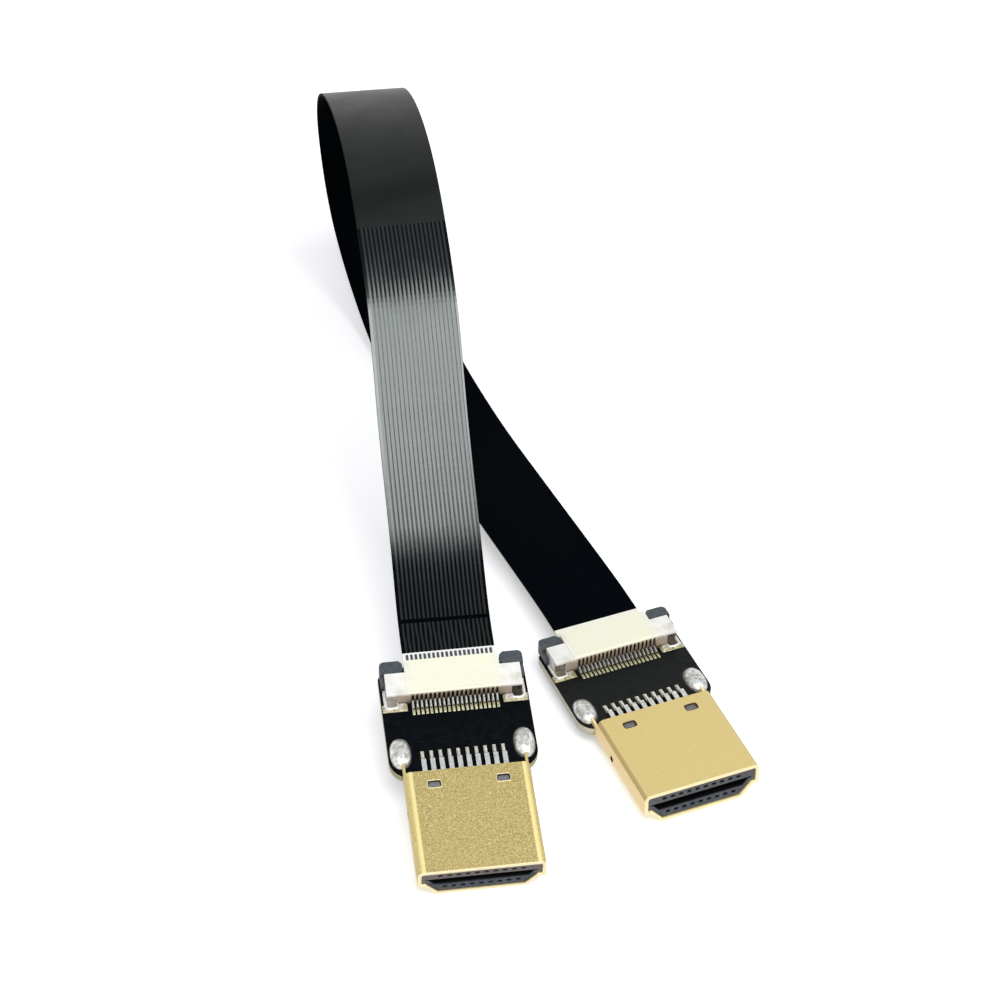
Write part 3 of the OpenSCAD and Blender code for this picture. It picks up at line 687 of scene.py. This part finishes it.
def mesh_in_plug(name, end, verts, faces):
    """A mesh from points in a plug's frame."""
    mesh = bpy.data.meshes.new(name)
    mesh.from_pydata([PLUG[end] @ Vector(v) for v in verts], [], faces)
    smooth(mesh)
    return mesh


def neighbour(points, k, closed):
    """The point of that number; a closed row goes round and an open one stays at its ends."""
    count = len(points)
    return points[k % count if closed else min(max(k, 0), count - 1)]


def through(points, closed):
    """Points on a smooth curve through the given ones."""
    for i in range(len(points) if closed else len(points) - 1):
        p, q, r, t = (Vector(neighbour(points, i + k, closed)) for k in (-1, 0, 1, 2))
        for j in range(CURVE_STEPS):
            u = j / CURVE_STEPS
            yield q + 0.5 * u * (r - p + u * (2 * p - 5 * q + 4 * r - t + u * (3 * (q - r) + t - p)))
    if not closed:
        yield Vector(points[-1])


def add_strands(name, end, strands, look, closed=False):
    """Round strands through points of a plug's frame; each point is a place and the radius there."""
    verts, faces = [], []
    sides = STRAND_SIDES
    for strand in strands:
        points = list(through(strand, closed))
        count, start = len(points), len(verts)
        for i, point in enumerate(points):
            heading = neighbour(points, i + 1, closed) - neighbour(points, i - 1, closed)
            ahead = heading.to_3d().normalized()
            out = ahead.cross(UP).normalized()
            lift = out.cross(ahead)
            for k in range(sides):
                t = 2 * math.pi * k / sides
                verts.append(point.to_3d() + point.w * (math.cos(t) * out + math.sin(t) * lift))
        for i in range(count if closed else count - 1):
            a, b = start + i * sides, start + (i + 1) % count * sides
            faces += [(a + k, a + (k + 1) % sides, b + (k + 1) % sides, b + k) for k in range(sides)]
        if not closed:
            faces.append(tuple(start + k for k in range(sides - 1, -1, -1)))
            faces.append(tuple(len(verts) - sides + k for k in range(sides)))
    add_piece(f"{name}_{end}", mesh_in_plug(f"{name}_{end}", end, verts, faces), [look])


# The ribbon

ROUTE = [
    (-16, 39.75, 14), (-14, 48.75, 23.5), (-11.5, 57.25, 31.5), (-9.5, 66.25, 37.5),
    (-7, 76.75, 40.5), (-4.5, 88.75, 40.5), (-2.4, 99.75, 36.5), (-0.4, 107.75, 29),
    (1, 111.25, 20), (1, 108.25, 11), (1, 100.75, 4), (0.6, 90.75, 0.2),
    (0.2, 80.25, 0.2), (0, 69.75, 0.5), (-0.3, 59.25, 2), (-0.6, 48.25, 3.5),
]
LEAD = 5
TURN_FROM, TURN_TO = 0.45, 0.66
FINE_END, FINE_ALONG = 36, 18
JACKET_T = 0.35
EDGE_BEVEL = 0.03
EDGE_DROP = 0.3
REVERSE_STEPS = 16
RIDGE_STEPS = ((-0.13, 0.12), (0, 0), (0.13, 0.12), (0.18, 0.55), (0.25, 1), (0.32, 0.55))
RIDGE_ANGLE = 16
VALLEY = 0.026
COVER_LEN = 4.25
COVER_T = 0.02
COVER_STEP = 0.3
CROSS_DEPTH, CROSS_HALF = 0.035, 0.2
WANDER = 0.03
WANDER_RATE, WANDER_SHIFT = 1.6, 1.7
PLAIN_FROM = 52.9
PLAIN_FADE = 0.8
RIDGE_GLOSS = ((0, 0.36), (9, 0.36), (14, 0.5), (60, 0.5))
GROOVE_GLOSS = (
    (0, 0.03), (11.8, 0.03), (14.8, 0.30), (19, 0.38), (26, 0.64), (34, 0.70), (42.2, 0.70),
    (44.2, 0.10), (60, 0.10),
)


def ease(k):
    """Smooth step from 0 to 1."""
    k = min(max(k, 0.0), 1.0)
    return k * k * (3 - 2 * k)


def route_steer():
    """Points that steer the ribbon's spline, between the two jacket ends, with one more past each end."""
    starts = [Vector((0, JACKET_Y + run, RIBBON_Z)) for run in (0, LEAD)]
    ends = {end: [(PLUG[end] @ start) / MM for start in starts] for end in ENDS}
    steer = ends["a"] + [Vector(p) for p in ROUTE] + ends["b"][::-1]
    return [2 * steer[0] - steer[1]] + steer + [2 * steer[-1] - steer[-2]]


def spline_weights(u):
    """Weights of four knots in a row, for the place on a cubic spline and for its heading there."""
    v = 1 - u
    place = (v ** 3, (3 * u - 6) * u * u + 4, ((3 - 3 * u) * u + 3) * u + 1, u ** 3)
    heading = (-v * v, (3 * u - 4) * u, (2 - 3 * u) * u + 1, u * u)
    return [w / 6 for w in place], [w / 2 for w in heading]


def ribbon_frames():
    """Centre, direction across and outward direction along the ribbon."""
    knots = route_steer()
    stretches = len(knots) - 3
    a_across, b_across = (PLUG[end].to_3x3().col[0].normalized() for end in ENDS)
    for i in range(stretches):
        fine = FINE_END if i in (0, stretches - 1) else FINE_ALONG
        for j in range(fine + (i == stretches - 1)):
            u = j / fine
            places, headings = spline_weights(u)
            centre = sum((w * knots[i + k] for k, w in enumerate(places)), Vector())
            ahead = sum((w * knots[i + k] for k, w in enumerate(headings)), Vector()).normalized()
            share = ease(((i + u) / stretches - TURN_FROM) / (TURN_TO - TURN_FROM))
            lean = a_across.lerp(b_across, share)
            across = (lean - lean.dot(ahead) * ahead).normalized()
            yield centre, across, across.cross(ahead)


def ridged_face(near):
    """The ridged face across the ribbon, that far from a jacket's end: (across, through) points."""
    past = near - COVER_LEN
    cover = COVER_T * (1 - ease((past + COVER_STEP / 2) / COVER_STEP))
    groove = CROSS_DEPTH * math.exp(-(past / CROSS_HALF) ** 4)
    loose = WANDER * (1 - ease((past + COVER_STEP) / COVER_STEP))
    top = JACKET_T / 2 + cover - groove - COVER_T
    depth = VALLEY * (1 - ease((near - PLAIN_FROM + PLAIN_FADE / 2) / PLAIN_FADE))
    points = []
    for k, mid in enumerate(WAY_MIDS):
        x = mid + loose * math.sin(WANDER_RATE * near + WANDER_SHIFT * k)
        points += [(x + step, top - depth * drop) for step, drop in RIDGE_STEPS]
    margin, brink = RIBBON_W / 2 - EDGE_BEVEL, top - depth * EDGE_DROP
    return [(-margin, brink), *points, (margin, brink)]


def film_look(gloss, near):
    """The film whose level is nearest to what the gloss stops give, that far from a jacket's end."""
    (a, low), (b, high) = next(pair for pair in zip(gloss, gloss[1:]) if near <= pair[1][0])
    level = low + (high - low) * (near - a) / (b - a)
    return min(range(len(FILM_LEVELS)), key=lambda k: abs(FILM_LEVELS[k] - level))


def face_look(near, column):
    """Which film covers one strip of the ridged face, that far from a jacket's end."""
    if abs(near - COVER_LEN) < CROSS_HALF:
        return MATTE
    if near > PLAIN_FROM:
        return PLAIN
    on_ridge = (column - 1) % len(RIDGE_STEPS) in (0, 1) and 0 < column <= WAYS * len(RIDGE_STEPS)
    return film_look(RIDGE_GLOSS if on_ridge else GROOVE_GLOSS, near)


def ribbon_ring(near):
    """Points round the ribbon: the ridged face, then its edges and its reverse."""
    half_w, half_t = RIBBON_W / 2, JACKET_T / 2
    flat_w, flat_t = half_w - EDGE_BEVEL, half_t - EDGE_BEVEL
    right = [(half_w, flat_t - COVER_T), (half_w, -flat_t)]
    reverse = [(flat_w * (1 - 2 * k / REVERSE_STEPS), -half_t) for k in range(REVERSE_STEPS + 1)]
    left = [(-x, z) for x, z in right[::-1]]
    return [*ridged_face(near), *right, *reverse, *left]


def add_ribbon():
    """The jacket, swept along its route, with ridges over the conductors on one face."""
    frames = list(ribbon_frames())
    steps = [(b[0] - a[0]).length for a, b in zip(frames, frames[1:])]
    runs = [sum(steps[:i]) for i in range(len(frames))]
    nears = [min(run, runs[-1] - run) for run in runs]
    verts, faces, looks = [], [], []
    for (centre, across, out), near in zip(frames, nears):
        verts += [(centre + x * across + z * out) * MM for x, z in ribbon_ring(near)]
    count, ridged = len(ribbon_ring(0)), len(ridged_face(0)) - 1
    for i in range(len(steps)):
        for j in range(count):
            a, b, k = i * count, (i + 1) * count, (j + 1) % count
            faces.append((a + j, a + k, b + k, b + j))
            looks.append(face_look((nears[i] + nears[i + 1]) / 2, j) if j < ridged else MATTE)
    faces += [tuple(range(count - 1, -1, -1)), tuple(len(verts) - count + j for j in range(count))]
    looks += [MATTE, MATTE]
    mesh = bpy.data.meshes.new("ribbon")
    mesh.from_pydata(verts, [], faces)
    smooth(mesh, RIDGE_ANGLE)
    piece = add_piece("ribbon", mesh, RIBBON, stands_for=["ribbon_jacket"])
    mesh.polygons.foreach_set("material_index", looks)


# Solder rims, painted highlight and shadow at the windows' cut edges, and flux

RIM_RISE = 0.2
RIM_OUT = 0.14
WINDOW_HALF_W, WINDOW_HALF_L = 0.75, 0.475
WINDOW_TURN = 0.2
WINDOW_X, WINDOW_Y = 3.8, BOARD_LOW.y - 2.2
FLUX_POINTS = 45
FLUX_FROM, FLUX_STEP = -5.4, 0.245
FLUX_Y = BOARD_LOW.y + 4.3
FLUX_WAVES = ((0.2, 1.9, 0), (0.1, 4.3, 1))
FLUX_BOW = 0.022
FLUX_SINK, FLUX_R = 0.04, 0.06


def add_hold_rims(end):
    """A rim of solder round each hold-down's foot and along the socket's side."""
    front, z, side_x = SOCKET_LOW.y, BOARD_TOP + RIM_RISE, SOCKET_HIGH.x + RIM_OUT
    loop = [(RECESS_IN + 0.02, 0.05, 0.08), (RECESS_IN + 0.02, -0.22, 0.12), (RECESS_IN + 0.15, -0.5, 0.14),
            (RECESS_IN + 0.55, -0.62, 0.15), (side_x - 0.4, -0.6, 0.15), (side_x - 0.08, -0.42, 0.15),
            (side_x, -0.05, 0.13), (side_x, 0.6, 0.11), (side_x, 1.85, 0.08)]
    strands = [[(side * x, front + y, z, r) for x, y, r in loop] for side in SIDES]
    add_strands("hold_rims", end, strands, RIM)


def add_window_rims(name, end, look, inset, radius, sink):
    """Rings at the cut edges of the two windows in a shell's top, that far in and that deep down: a bright
    look makes them a painted highlight, a dark one painted shadow.
    """
    half_w, half_l, turn = WINDOW_HALF_W - inset, WINDOW_HALF_L - inset, WINDOW_TURN
    right = [(half_w - turn, half_l), (half_w, half_l - turn), (half_w, -half_l + turn),
             (half_w - turn, -half_l)]
    ring = right + [(-x, -y) for x, y in right]
    height = SHELL_HIGH.z - sink
    strands = [[(side * WINDOW_X + x, WINDOW_Y + y, height, radius) for x, y in ring] for side in SIDES]
    add_strands(name, end, strands, look, closed=True)


def add_flux_line(end):
    """The wavy edge of the flux that was left on a board behind the plug's tails."""
    line = []
    for k in range(FLUX_POINTS):
        x = FLUX_FROM + FLUX_STEP * k
        wave = sum(size * math.sin(rate * x + shift) for size, rate, shift in FLUX_WAVES)
        line.append((x, FLUX_Y + wave + FLUX_BOW * x * x, BOARD_TOP - FLUX_SINK, FLUX_R))
    add_strands("flux_line", end, [line], BOARD[end])


# Solder over the shells' legs

DOME_RINGS, DOME_SEGMENTS = 18, 56
DOME_OVAL = 0.85
DOME_FALL, DOME_ROUND = 2.3, 0.62
LUMP = 0.10
LUMP_RATE_X, LUMP_RATE_Y = 1.1, 0.8
LUMP_APART = 7
LUMP_PLACE = {"a": 3, "b": 11}
FURROW = 0.13
FURROW_X, FURROW_WAVE = 0.12, 0.1
FURROW_HALF_W, FURROW_HALF_L = 0.16, 1.0


def signed_power(value, power):
    """The value's size to that power, with the value's sign."""
    return math.copysign(abs(value) ** power, value)


def dome_height(end, side, u, x, y):
    """Height of a dome as a share of its full one, that far (u) from its middle to its rim."""
    spot = (x * LUMP_RATE_X + LUMP_APART * side, y * LUMP_RATE_Y, LUMP_PLACE[end])
    lump = noise.noise(Vector(spot))
    beside = x - FURROW_X * side + FURROW_WAVE * math.sin(2 * y)
    furrow = math.exp(-(beside / FURROW_HALF_W) ** 2) * math.exp(-(y / FURROW_HALF_L) ** 4)
    dome = (1 - u ** DOME_FALL) ** DOME_ROUND
    return min(dome * (1 + LUMP * lump - FURROW * furrow), 1)


def add_leg_solder(end):
    """Lumpy domes of solder over the two legs of a plug, each with a furrow along it."""
    verts, faces = [], []
    for side in SIDES:
        low, high = node_box("leg_solder", end, side)
        centre, half = (low + high) / 2, (high - low) / 2
        start = len(verts)
        for j in range(DOME_RINGS + 1):
            u = j / DOME_RINGS
            for k in range(DOME_SEGMENTS):
                t = 2 * math.pi * k / DOME_SEGMENTS
                x = half.x * signed_power(math.cos(t), DOME_OVAL) * u
                y = half.y * signed_power(math.sin(t), DOME_OVAL) * u
                z = low.z + (high.z - low.z) * dome_height(end, side, u, x, y)
                verts.append((centre.x + x, centre.y + y, z))
        for j in range(DOME_RINGS):
            a, b = start + j * DOME_SEGMENTS, start + (j + 1) * DOME_SEGMENTS
            for k in range(DOME_SEGMENTS):
                m = (k + 1) % DOME_SEGMENTS
                faces.append((a + k, b + k, b + m, a + m))
        faces.append(tuple(len(verts) - 1 - k for k in range(DOME_SEGMENTS)))
    name = f"leg_solder_{end}"
    mesh = mesh_in_plug(name + "_domes", end, verts, faces)
    bm = bmesh.new()
    bm.from_mesh(mesh)
    bmesh.ops.remove_doubles(bm, verts=bm.verts, dist=MERGE * MM)
    bm.to_mesh(mesh)
    bm.free()
    add_piece(name + "_domes", mesh, [SOLDER], stands_for=[name])


# Upper ends of the slots in a socket's front wall

COMB_FRONT, COMB_BACK = SOCKET_LOW.y - 0.2, SOCKET_LOW.y + 0.15
COMB_LOW, COMB_HIGH = SOCKET_HIGH.z - 0.7, SOCKET_HIGH.z - 0.26
COMB_HALF = 0.15
COMB = [((x - COMB_HALF, COMB_FRONT, COMB_LOW), (x + COMB_HALF, COMB_BACK, COMB_HIGH)) for x in WAY_MIDS]


# Camera, table and light

EYE, AIM = (-107.75, -201.50, 235.64), (-0.43, 57.76, 0)
ROLL = 0.29
SENSOR_W, LENS = 36, 105.68
CLIP_START = 0.01
TABLE_HALF = 3.0
TABLE_DROP = 0.02
TABLE_WHITE = (0.93, 0.925, 0.955, 1)
TABLE_GLOW, TABLE_GLOW_SHARE = 1.03, 0.75
TABLE_LIFT = 0.4
LIGHT_STOPS = ((0.0, 0.56), (0.62, 0.49), (0.86, 0.26), (1.0, 0.15))
MIRROR_STOPS = ((0.0, 1.2), (0.45, 1.05), (0.72, 0.80), (0.92, 0.66), (1.0, 0.64))
BLUE_FROM = 0.75
LESS_RED, MORE_BLUE = 0.6, 0.8


def add_camera():
    """The photograph's viewpoint."""
    data = bpy.data.cameras.new("camera")
    data.sensor_width = SENSOR_W
    data.lens = LENS
    data.clip_start = CLIP_START
    camera = bpy.data.objects.new("camera", data)
    bpy.context.scene.collection.objects.link(camera)
    eye, aim = Vector(EYE) * MM, Vector(AIM) * MM
    roll = Quaternion((0, 0, 1), math.radians(ROLL))
    camera.location = eye
    camera.rotation_mode = "QUATERNION"
    camera.rotation_quaternion = (aim - eye).to_track_quat("-Z", "Y") @ roll
    bpy.context.scene.camera = camera


def table_look():
    """White that keeps the shadows, a little lifted for the camera and mostly aglow in reflections."""
    material = bpy.data.materials.new("table_white")
    tree = Tree(material)
    tree.nodes.clear()
    rays = tree.add("LightPath").outputs
    mirrored = tree.maths("MAXIMUM", rays["Is Glossy Ray"], rays["Is Transmission Ray"])
    share = tree.product(mirrored, TABLE_GLOW_SHARE)
    diffuse = tree.add("BsdfDiffuse", {"Color": TABLE_WHITE})
    glow = tree.add("Emission", {"Strength": TABLE_GLOW})
    surface = tree.add("MixShader", {0: share, 1: diffuse.outputs[0], 2: glow.outputs[0]})
    lift = tree.add("Emission", {"Strength": tree.product(rays["Is Camera Ray"], TABLE_LIFT)})
    both = tree.add("AddShader", {0: surface.outputs[0], 1: lift.outputs[0]})
    tree.add("OutputMaterial", {"Surface": both.outputs[0]})
    return material


def add_table():
    """A plain white table under the object."""
    corners = [(-1, -1, 0), (1, -1, 0), (1, 1, 0), (-1, 1, 0)]
    mesh = bpy.data.meshes.new("table")
    mesh.from_pydata([Vector(corner) * TABLE_HALF for corner in corners], [], [(0, 1, 2, 3)])
    mesh.materials.append(table_look())
    table = bpy.data.objects.new("table", mesh)
    table.location.z = -TABLE_DROP * MM
    bpy.context.scene.collection.objects.link(table)


def studio_shade(place, level):
    """A grey of that level, bluer towards the ceiling."""
    blue = LESS_RED * max(place - BLUE_FROM, 0)
    return level * (1 - blue), level, level * (1 + MORE_BLUE * blue)


def add_world():
    """A pale studio: white behind the object, with brighter walls and a dimmer ceiling in reflections."""
    world = bpy.data.worlds.new("studio")
    bpy.context.scene.world = world
    tree = Tree(world)
    height = tree.axes(tree.add("TexCoord").outputs["Generated"])["Z"]
    rays = tree.add("LightPath").outputs
    light, mirror = (tree.ramp(height, *[(place, studio_shade(place, level)) for place, level in stops])
                     for stops in (LIGHT_STOPS, MIRROR_STOPS))
    colour = tree.mix(rays["Is Glossy Ray"], light, mirror)
    colour = tree.mix(rays["Is Camera Ray"], colour, (1, 1, 1))
    tree.links.new(colour, tree.nodes["Background"].inputs["Color"])


def add_softbox(name, aim, azimuth, elevation, distance, size, power):
    """A rectangular lamp that looks at a point; azimuth 0 is towards +Y and 90 towards +X."""
    a, e = math.radians(azimuth), math.radians(elevation)
    back = Vector((math.sin(a) * math.cos(e), math.cos(a) * math.cos(e), math.sin(e)))
    data = bpy.data.lights.new(name, "AREA")
    data.shape = "RECTANGLE"
    data.size, data.size_y = size
    data.energy = power
    lamp = bpy.data.objects.new(name, data)
    bpy.context.scene.collection.objects.link(lamp)
    lamp.location = Vector(aim) * MM + back * distance
    lamp.rotation_mode = "QUATERNION"
    lamp.rotation_quaternion = (-back).to_track_quat("-Z", "Y")


bpy.context.scene.view_settings.view_transform = "Standard"
add_camera()
add_table()
add_world()
add_softbox("softbox", aim=(-13, 50, 25), azimuth=-176, elevation=60.4, distance=0.9, size=(0.62, 0.54),
            power=6.3)

add_ribbon()
for end in ENDS:
    rounded_copy("shell", end, GOLD[end], radius=0.09)
    rounded_copy("insulator", end, INSULATOR[end], radius=0.04)
    paint_node("contact_carrier", end, CARRIER)
    rounded_copy("upper_contacts", end, TIN, radius=0.03)
    rounded_copy("lower_contacts", end, TIN, radius=0.03)
    rounded_copy("circuit_board", end, BOARD[end], radius=0.04)
    rounded_copy("solder_pads", end, PAD, radius=0.015)
    rounded_copy("ribbon_socket", end, SOCKET[end], radius=0.05, boxes=COMB)
    rounded_copy("socket_contacts", end, WAY[end], radius=0.03)
    rounded_copy("hold_downs", end, HOLD[end], radius=0.04)
    rounded_copy("sliding_lock", end, LOCK, radius=0.07)
    paint_node("ribbon_end", end, FILM[end])
    paint_node("conductors", end, CONDUCTOR[end])
    add_leg_solder(end)
    add_hold_rims(end)
add_window_rims("window_highlight_rings", "a", EDGE_HIGHLIGHT, inset=0, radius=0.04, sink=0.01)
add_window_rims("window_shades", "a", SHADE, inset=0.05, radius=0.07, sink=0.13)
add_window_rims("window_shades", "b", SHADE, inset=0.02, radius=0.1, sink=0.08)
add_flux_line("a")
